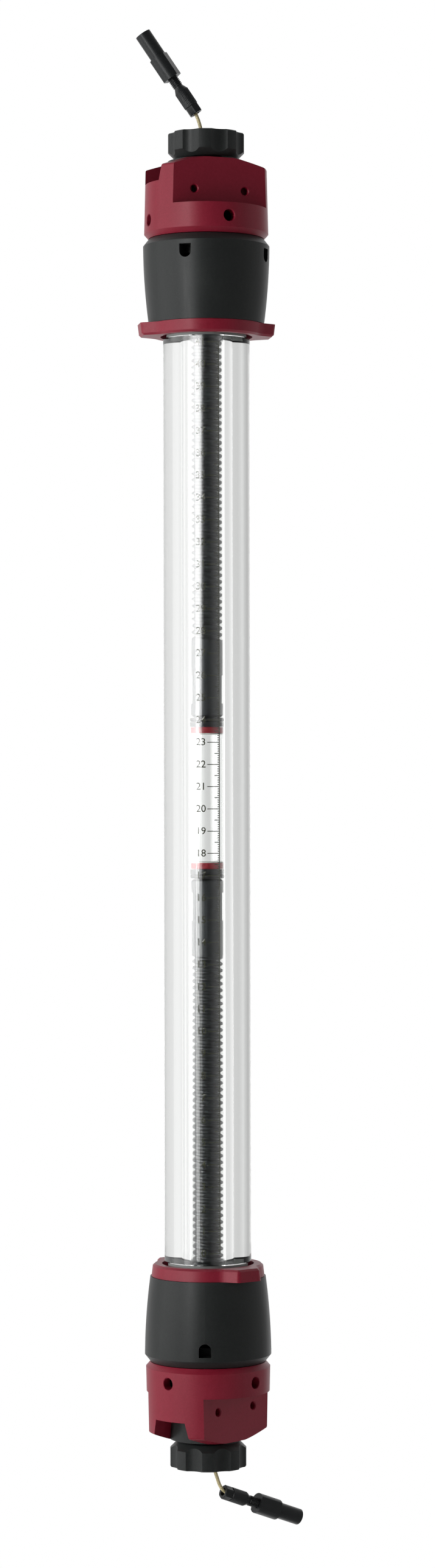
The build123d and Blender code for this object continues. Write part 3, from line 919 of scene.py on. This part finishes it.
@dataclass
class FittingNut:
    """Finger-tight nut with a hexagonal tail, a knurled grip, a cone and a thread; in metres.

    Each row is a ring round the nut's axis. On the tail the radius follows the
    hexagon's flats, on the grip it follows the knurl's waves, and on the shank it
    follows the thread's teeth, which climb by a pitch for each turn.
    """

    tail_turn: float
    tail_half_width: float = 2.9 * MM
    tail_length: float = 4.0 * MM
    grip_radius: float = 3.3 * MM
    grip_length: float = 8.3 * MM
    cone_length: float = 2.3 * MM
    thread_radius: float = 2.4 * MM
    thread_depth: float = 0.36 * MM
    thread_pitch: float = 0.8 * MM
    exposed_end: float = 19.4 * MM
    thread_end: float = 26.4 * MM
    socket_radius: float = 1.7 * MM
    socket_depth: float = 5.0 * MM
    bore_radius: float = 0.9 * MM
    bevel: float = 0.25 * MM
    knurl_count: int = 36
    knurl_depth: float = 0.13 * MM
    columns: int = 144
    rows_per_pitch: int = 12

    # Corner of the hexagon over half its width; bevel of the tail's mouth and of the
    # socket's rim over the bevel; length that the thread grows over, in pitches
    corner_share = 1.13
    mouth_share = 0.4
    rim_share = 0.8
    fade_pitches = 0.4

    def build(self, place: FittingFrame, material: Material) -> Object:
        """Builds the nut and lets it stand for the CAD nut.

        Args:
            place: The end's fitting frame.
            material: Dark turned plastic.

        Returns:
            The finished nut.
        """
        turn = np.linspace(0, 2 * np.pi, self.columns, endpoint=False)
        rows = [self._tail(turn), self._grip(turn), self._shank(turn), self._bore()]
        radius = np.concatenate([r for r, _ in rows])
        height = np.concatenate([h for _, h in rows])
        points = revolve_grid(radius, height, self.columns)
        faces = grid_faces(len(radius), self.columns, around=True, closed_rows=True)
        end = place.side.label
        piece = mesh_object(f"{end}_knurled_nut", place.place(points), faces, smooth_angle=28)
        dress(piece, material, f"{end}_adapter")
        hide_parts(f"{end}_fitting_nut")
        return piece

    def _rings(self, radius: list[float], height: list[float]) -> tuple[Array, Array]:
        """Plain circular rows of these radii and heights."""
        ones = np.ones(self.columns)
        return np.array(radius)[:, None] * ones, np.array(height)[:, None] * ones

    def _tail(self, turn: Array) -> tuple[Array, Array]:
        """Rows of the hexagon: half its width over the cosine of the angle from the nearest flat.

        Args:
            turn: Angle of each column.

        Returns:
            Radii and heights, rows x columns.
        """
        sixth = np.pi / 3
        from_flat = (turn - math.radians(self.tail_turn)) % sixth - sixth / 2
        hexagon = self.tail_half_width / np.cos(from_flat)
        rounded = np.minimum(hexagon, self.tail_half_width * self.corner_share)
        cut = self.bevel * self.mouth_share
        mouth = np.minimum(rounded, self.tail_half_width + cut)
        heights = [0.0, self.bevel, self.tail_length]
        radius = np.stack([mouth - cut, rounded, rounded])
        return radius, np.array(heights)[:, None] * np.ones(self.columns)

    def _grip(self, turn: Array) -> tuple[Array, Array]:
        """Rows of the grip, whose radius dips by the knurl's depth between its ridges.

        Args:
            turn: Angle of each column.

        Returns:
            Radii and heights, rows x columns.
        """
        wave = 0.5 - 0.5 * np.cos(self.knurl_count * turn)
        start, end = self.tail_length, self.tail_length + self.grip_length
        bevel, run_in = self.bevel, 3 * self.bevel
        heights = [start, start + bevel, start + run_in, end - run_in, end - bevel, end]
        full = self.grip_radius
        outer = [full - bevel, full, full, full, full, full - bevel / 2]
        dip = [0.0, 0.0, 1.0, 1.0, 0.0, 0.0]
        radius = np.array(outer)[:, None] - self.knurl_depth * np.array(dip)[:, None] * wave
        return radius, np.array(heights)[:, None] * np.ones(self.columns)

    def _shank(self, turn: Array) -> tuple[Array, Array]:
        """Rows of the cone and of the thread, whose radius is a wave that climbs with the turn.

        Args:
            turn: Angle of each column.

        Returns:
            Radii and heights, rows x columns.
        """
        cone_end = self.tail_length + self.grip_length + self.cone_length
        root = self.thread_radius - self.thread_depth
        height = np.arange(cone_end, self.exposed_end, self.thread_pitch / self.rows_per_pitch)
        phase = height[:, None] / self.thread_pitch - turn / (2 * np.pi)
        tooth = np.clip(0.5 + 0.75 * np.cos(2 * np.pi * phase), 0, 1)
        fade_length = self.fade_pitches * self.thread_pitch
        fade = np.clip((height - cone_end) / fade_length, 0, 1)[:, None]
        radius = root + self.thread_depth * tooth * fade
        plain, levels = self._rings(
            [self.thread_radius, self.thread_radius], [self.exposed_end, self.thread_end]
        )
        climb = height[:, None] * np.ones(self.columns)
        return np.concatenate([radius, plain]), np.concatenate([climb, levels])

    def _bore(self) -> tuple[Array, Array]:
        """Rows of the bore and of the socket in the tail, from the far end back to the mouth."""
        rim = self.bevel * self.rim_share
        bore, socket = self.bore_radius, self.socket_radius
        radius = [bore, bore, socket, socket, socket + rim]
        height = [self.thread_end, self.socket_depth, self.socket_depth, rim, 0.0]
        return self._rings(radius, height)


TAIL_TURNS = {Side.UPPER: 0.0, Side.LOWER: 27.0}


@dataclass
class PortThread:
    """Thread cut in the open port of a union: a low ridge that climbs round the wall.

    The ridge is a grid: along it the point turns and climbs, and across it the radius
    goes from the wall to the ridge's top and back.
    """

    port_radius: float = 2.4 * MM
    ridge: float = 0.16 * MM
    pitch: float = 0.8 * MM
    near: float = 34.6 * MM
    far: float = 42.9 * MM
    steps: int = 40
    sunk: float = 0.04 * MM

    # Corners of the ridge's section along the port, in pitches, and its rise at its ends
    # as a share of its height for each turn
    section = np.array([0.30, 0.10, -0.10, -0.30])
    fade_rate = 3

    def build(self, place: FittingFrame, material: Material) -> Object:
        """Winds the ridge round the port's wall.

        Args:
            place: The end's fitting frame.
            material: Dark turned plastic.

        Returns:
            The ridge.
        """
        turns = (self.far - self.near) / self.pitch
        along = np.linspace(0, turns, int(turns * self.steps))
        fade = np.clip(np.minimum(along, turns - along) * self.fade_rate, 0, 1)[:, None]
        across = self.section * self.pitch
        lift = np.array([-self.sunk, self.ridge, self.ridge, -self.sunk])
        radius = self.port_radius - np.where(lift > 0, lift * fade, lift)
        angle = along[:, None] * 2 * np.pi
        height = self.near + along[:, None] * self.pitch + across
        points = np.stack([radius * np.cos(angle), radius * np.sin(angle), height], -1)
        faces = grid_faces(len(along), 4, around=True, closed_rows=False)
        end = place.side.label
        piece = mesh_object(f"{end}_port_thread", place.place(points), faces, smooth_angle=40)
        return dress(piece, material, f"{end}_union_body")


# ---------------------------------------------------------------- the column


@dataclass
class Column:
    """The whole column: its CAD pieces with their finishes, and the pieces made here."""

    groups: ShaderGroups

    def build(self) -> None:
        """Dresses the CAD pieces, then makes the tube, the scale, the rods and the fittings."""
        materials = {finish.slot: finish.material(self.groups) for finish in FINISHES}
        glass = GlassFinish()
        materials[glass.slot] = glass.material()
        self._dress_nodes(materials)
        self._report(GlassTube().build(materials[glass.slot]))
        self._report(ScalePrint().build(INK.material(self.groups)))
        for side in Side:
            place = FittingFrame.of(side)
            self._report(ThreadedRod(side).build(materials["rod_grey"]))
            self._report(FittingNut(TAIL_TURNS[side]).build(place, materials["fitting_black"]))
            self._report(PortThread().build(place, materials["fitting_black"]))

    def _dress_nodes(self, materials: dict[str, Material]) -> None:
        """Gives each CAD piece the finish of its slot.

        Args:
            materials: A material for each slot.
        """
        for name, node in frame["nodes"].items():
            for slot in node.material_slots:
                slot.material = materials[slot.material.name]
            log.info("dressed %s", name)

    def _report(self, piece: Object) -> None:
        """Logs a new piece and its number of faces."""
        log.info("made %s with %d faces", piece.name, len(piece.data.polygons))


# ---------------------------------------------------------------- studio


class Reach(Enum):
    """Which rays a lamp is there for."""

    ALL = "all"
    SHADE = "shade"
    SHINE = "shine"


@dataclass(frozen=True)
class Softbox:
    """Upright lamp that faces the column's axis; in metres and degrees.

    Attributes:
        name: Name of the lamp.
        azimuth: Where it stands, seen from the column, from the front; left is negative.
        width: Width of its lit face.
        level: Brightness of its face, where white is 1.
        reach: Whether it shades surfaces, shines in them, or both.
        fade: Share of its height, from its foot, and share of its level there.
        distance: Distance from the column's axis.
        height: Height of its lit face.
    """

    name: str
    azimuth: float
    width: float
    level: float
    reach: Reach = Reach.ALL
    fade: Levels = ()
    distance: float = 1.5
    height: float = 1.7

    def build(self) -> None:
        """Adds the lamp."""
        data = bpy.data.lights.new(self.name, "AREA")
        data.shape = "RECTANGLE"
        data.size = self.width
        data.size_y = self.height
        data.energy = self.level * math.pi * self.width * self.height
        if self.fade:
            self._fade(data)
        lamp = add_object(self.name, data)
        angle = math.radians(self.azimuth)
        lamp.location = (self.distance * math.sin(angle), -self.distance * math.cos(angle), 0)
        lamp.rotation_euler = (math.pi / 2, 0, angle)
        lamp.visible_camera = False
        lamp.visible_diffuse = self.reach is not Reach.SHINE
        lamp.visible_glossy = self.reach is not Reach.SHADE

    def _fade(self, data: bpy.types.Light) -> None:
        """Makes the lamp's level follow its fade, from its foot upwards."""
        data.use_nodes = True
        nodes = Nodes(data.node_tree)
        _, upward, _ = nodes.axes(nodes.add("ShaderNodeNewGeometry").outputs["Parametric"])
        glow = nodes.add("ShaderNodeEmission")
        nodes.feed(glow, Color=nodes.ramp(upward, self.fade), Strength=1.0)
        nodes.end("ShaderNodeOutputLight", glow.outputs[0])


@dataclass
class RoomLight:
    """Light of the room round the column, in the nodes of the world or of the floor.

    Attributes:
        studio: The studio, which holds the levels.
        nodes: The tree.
        kind: Type name of the nodes that shine.
        place: Direction, or point of the floor, that the light comes from.
        upward: Upward share of the ray's direction, a number or an output socket.
    """

    studio: "Studio"
    nodes: Nodes
    kind: str
    place: Socket
    upward: object

    def shader(self, path: bpy.types.Node) -> Socket:
        """Sum of the walls or the backdrop and of the window.

        Args:
            path: The tree's Light Path node.

        Returns:
            The sum's output socket.
        """
        nodes = self.nodes
        x, y, _ = nodes.axes(self.place)
        # Azimuth from behind, as a share of a turn from -180 degrees
        turn = nodes.math("MULTIPLY_ADD", nodes.math("ARCTAN2", x, y), 1 / (2 * math.pi), 0.5)
        return nodes.add_shaders(self._walls(path, turn), self._window(path, turn))

    def _shine(self, turn: Socket, levels: Levels) -> bpy.types.Node:
        """Node that shines with one of the studio's lists of azimuths and levels."""
        stops = tuple(((azimuth + 180) / 360, level) for azimuth, level in levels)
        light = self.nodes.add(self.kind)
        return self.nodes.feed(light, Color=self.nodes.ramp(turn, stops), Strength=1.0)

    def _walls(self, path: bpy.types.Node, turn: Socket) -> Socket:
        """Light of the walls, or of the backdrop for a ray that comes through glass."""
        nodes = self.nodes
        walls = self._shine(turn, self.studio.walls)
        backdrop = self._shine(turn, self.studio.backdrop)
        front = self._shine(turn, self.studio.front)
        nodes.feed(front, Strength=nodes.math("LESS_THAN", path.outputs["Glossy Depth"], 0.5))
        seen_through = nodes.add_shaders(backdrop.outputs[0], front.outputs[0])
        transmitted = path.outputs["Is Transmission Ray"]
        through = nodes.math("MULTIPLY", nodes.unscattered(path), transmitted)
        return nodes.mix_shader(through, walls.outputs[0], seen_through)

    def _window(self, path: bpy.types.Node, turn: Socket) -> Socket:
        """Light of the window, faded downwards, for rays that a clear surface mirrors."""
        nodes, studio = self.nodes, self.studio
        slope = 2 * math.pi * studio.window_slant
        lowered = nodes.math("MULTIPLY_ADD", turn, -slope, slope * studio.window_start + 0.5)
        stops = tuple((height + 0.5, level) for height, level in studio.window_fade)
        fade = nodes.ramp(nodes.math("ADD", lowered, self.upward), stops)
        reflected, sharp = path.outputs["Is Reflection Ray"], path.outputs["Is Singular Ray"]
        mirrored = nodes.math("MULTIPLY", reflected, sharp)
        seen = nodes.math("MULTIPLY", nodes.unscattered(path), mirrored)
        level = nodes.math("MULTIPLY", seen, studio.window_level)
        window = self._shine(turn, studio.window)
        return nodes.feed(window, Strength=nodes.math("MULTIPLY", level, fade)).outputs[0]


@dataclass
class Studio:
    """White room with lamps at both sides, a pale floor and the camera; in metres and degrees.

    Attributes:
        lamps: The lamps.
        walls: Azimuth from behind the column, right being positive, and the level that
            the walls light and shine in the column with.
        backdrop: The same, as the clear glass shows what is behind it.
        front: The same, as the glass shows it where nothing inside reflects.
        window: The same, as the glass mirrors it, as a share of the window's level.
        window_level: Level of the window.
        window_fade: Upward share of a ray, at azimuth 0, and share of the window's level.
        window_slant: How much lower the window reaches for each radian to the right.
        window_start: Share of a turn from which the slant is counted.
        floor_gap: Space between the column's lowest point and the floor.
        floor_size: Length of the floor's sides.
        floor_points: Points along each of its sides.
        floor_upward: Upward share of a ray with which the floor shows the window.
        shade_radius: Distance from the column, near and far, over which its shadow fades out.
        shade_clear: Share of plain white in the floor at each of them.
        camera_place: Where the camera is.
        camera_roll: How far it leans.
        lens: Its focal length in millimetres.
    """

    lamps: tuple[Softbox, ...] = (
        Softbox("key_shine", -34.8, 0.38, 4.6, Reach.SHINE, (
            (0.0, 0.02), (0.17, 0.03), (0.21, 0.10), (0.28, 0.25), (0.335, 0.45), (0.41, 0.65),
            (0.6, 1.0),
        )),
        Softbox("side_softbox", -78.0, 1.3, 0.9),
        Softbox("side_shade", -52.0, 0.5, 8.5, Reach.SHADE),
        Softbox("right_shade", 92.0, 0.5, 2.0, Reach.SHADE),
    )
    walls: Levels = (
        (-180, 0.07), (-125, 0.10), (-100, 0.25), (-75, 0.45), (-50, 0.60), (-33, 0.66), (-15, 0.72),
        (0, 0.80), (8, 0.95), (30, 0.75), (45, 0.4), (60, 0.28), (95, 0.22), (115, 0.17), (150, 0.09),
        (180, 0.05),
    )
    backdrop: Levels = (
        (-180, 0.07), (-110, 0.12), (-85, 0.8), (-67, 0.68), (-57, 0.56), (-47, 0.68), (-42, 0.80),
        (-37, 0.72), (-33, 0.66), (-15, 0.72), (-6, 0.94), (-3, 0.79), (0, 0.74), (3, 0.72), (6, 0.88),
        (9, 0.92), (14, 0.92), (25, 0.78), (29, 0.84), (42, 0.72), (67, 0.68), (85, 0.7), (110, 0.12),
        (180, 0.07),
    )
    front: Levels = (
        (-180, 0.85), (-105, 0.8), (-85, 0.0), (85, 0.0), (105, 0.8), (180, 0.85),
    )
    window: Levels = (
        (-180, 0.0), (-172, 0.02), (-166, 0.45), (-162, 0.9), (-157, 1.0), (-154, 0.78), (-145, 0.7),
        (-138, 0.56), (-132, 0.42), (-118, 0.34), (-112, 0.12), (-85, 0.12), (-60, 0.06), (-30, 0.01),
        (-20, 0.0), (100, 0.0), (130, 0.09), (160, 0.05), (175, 0.0),
    )
    window_level: float = 19.0
    window_fade: Levels = (
        (-0.16, 0.0), (-0.105, 0.03), (-0.07, 0.15), (-0.03, 0.65), (0.0, 1.0),
    )
    window_slant: float = -0.29
    window_start: float = 0.0806
    floor_gap: float = 0.002
    floor_size: float = 2.4
    floor_points: int = 9
    floor_upward: float = -0.125
    shade_radius: tuple[float, float] = (0.12, 0.5)
    shade_clear: tuple[float, float] = (0.9, 1.0)
    camera_place: tuple[float, float, float] = (0.0047, -1.725, 0.0073)
    camera_roll: float = 0.1
    lens: float = 87.1

    def build(self) -> None:
        """Makes the room, the lamps, the floor and the camera."""
        self._room()
        for lamp in self.lamps:
            lamp.build()
        self._floor()
        self._camera()

    def _room(self) -> None:
        """World that is white to the camera, and has walls of their own level round the column.

        Rays that have only gone through glass see the backdrop, rays that the glass mirrors
        see the window as well as the walls, and all others see the walls.
        """
        world = bpy.data.worlds.new("white_room")
        bpy.context.scene.world = world
        world.use_nodes = True
        nodes = Nodes(world.node_tree)
        place = nodes.add("ShaderNodeTexCoord").outputs["Generated"]
        path = nodes.add("ShaderNodeLightPath")
        _, _, upward = nodes.axes(place)
        light = RoomLight(self, nodes, "ShaderNodeBackground", place, upward)
        white = nodes.add("ShaderNodeBackground")
        nodes.feed(white, Color=(1, 1, 1, 1), Strength=1.0)
        camera_ray = path.outputs["Is Camera Ray"]
        seen = nodes.mix_shader(camera_ray, light.shader(path), white.outputs[0])
        nodes.end("ShaderNodeOutputWorld", seen)

    def _floor(self) -> None:
        """Pale floor under the column, clear of its lower adapter, which takes its shadow."""
        low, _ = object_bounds()
        height = low[2] - self._travel_down() - self.floor_gap
        half = self.floor_size / 2
        share = np.linspace(-half, half, self.floor_points)
        x, y = np.meshgrid(share, share, indexing="ij")
        points = np.stack([x, y, np.full_like(x, height)], -1)
        faces = grid_faces(self.floor_points, self.floor_points, around=False, closed_rows=False)
        mesh = bpy.data.meshes.new("floor")
        mesh.from_pydata(points.reshape(-1, 3), [], faces.tolist())
        floor = add_object("floor", mesh)
        mesh.materials.append(self._floor_finish())
        floor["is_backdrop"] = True

    def _travel_down(self) -> float:
        """How far the lower adapter slides down out of the tube."""
        slides = [joint for joint in frame["joints"] if joint["type"] == "slide"]
        return max(joint["range_m"][1] for joint in slides if joint["axis"][2] < 0)

    def _floor_finish(self) -> Material:
        """White to the camera but for the shadow, pale to diffuse rays and as the walls to others.

        Returns:
            The new material.
        """
        material, nodes = new_material("pale_floor")
        place = nodes.add("ShaderNodeTexCoord").outputs["Object"]
        path = nodes.add("ShaderNodeLightPath")
        diffuse = nodes.add("ShaderNodeBsdfDiffuse")
        nodes.feed(diffuse, Color=(0.9, 0.9, 0.9, 1))
        white = nodes.add("ShaderNodeEmission")
        nodes.feed(white, Color=(1, 1, 1, 1), Strength=1.0)
        light = RoomLight(self, nodes, "ShaderNodeEmission", place, self.floor_upward)
        level = nodes.add("ShaderNodeVectorMath", operation="MULTIPLY")
        nodes.feed(level, i0=place, i1=(1, 1, 0))
        distance = nodes.add("ShaderNodeVectorMath", operation="LENGTH")
        nodes.feed(distance, i0=level.outputs[0])
        clear = nodes.add("ShaderNodeMapRange")
        near, far = self.shade_radius
        near_clear, far_clear = self.shade_clear
        nodes.feed(clear, Value=distance.outputs["Value"], From_Min=near, From_Max=far)
        nodes.feed(clear, To_Min=near_clear, To_Max=far_clear)
        lit = nodes.mix_shader(nodes.unscattered(path), diffuse.outputs[0], light.shader(path))
        shaded = nodes.mix_shader(path.outputs["Is Camera Ray"], lit, diffuse.outputs[0])
        whiteness = nodes.math("MULTIPLY", path.outputs["Is Camera Ray"], clear.outputs[0])
        seen = nodes.mix_shader(whiteness, shaded, white.outputs[0])
        nodes.end("ShaderNodeOutputMaterial", seen)
        return material

    def _camera(self) -> None:
        """Camera level with the middle of the tube, turned upright."""
        data = bpy.data.cameras.new("camera")
        data.lens = self.lens
        camera = add_object("camera", data)
        camera.location = self.camera_place
        camera.rotation_euler = (math.pi / 2, math.radians(self.camera_roll), 0)
        bpy.context.scene.camera = camera


def main() -> None:
    """Builds the column and the studio."""
    logging.basicConfig(level=logging.INFO, format="%(name)s: %(message)s")
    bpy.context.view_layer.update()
    Column(ShaderGroups()).build()
    Studio().build()
    bpy.context.scene.view_settings.view_transform = "Standard"


if __name__ == "__main__":
    main()
